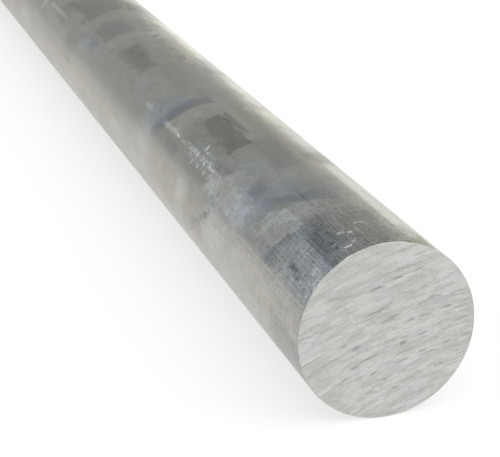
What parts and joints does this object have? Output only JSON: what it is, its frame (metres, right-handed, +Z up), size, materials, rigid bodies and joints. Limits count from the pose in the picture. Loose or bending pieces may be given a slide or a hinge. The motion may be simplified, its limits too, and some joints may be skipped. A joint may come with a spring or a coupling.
{
  "type": "round metal bar",
  "caption": "Solid round bar of mill-finish aluminium, sawn square at both ends, lying on its side; raw stock for shafts, pins, posts and turned parts.",
  "frame": {"origin": "on the line where the bar touches the floor, under the middle of its length", "axes": "+X along the bar, from the near sawn end to the far one; +Z up, so the bar's own axis runs at half its diameter above the floor; +Y across the bar"},
  "size_m": [1, 0.05, 0.0498],
  "materials": {
    "mill_aluminium": "mill finish, satin grey with handling stains and straightener marks; sawn end faces paler and matt"
  },
  "bodies": {
    "root": {"round_bar": "mill_aluminium"}
  },
  "joints": []
}
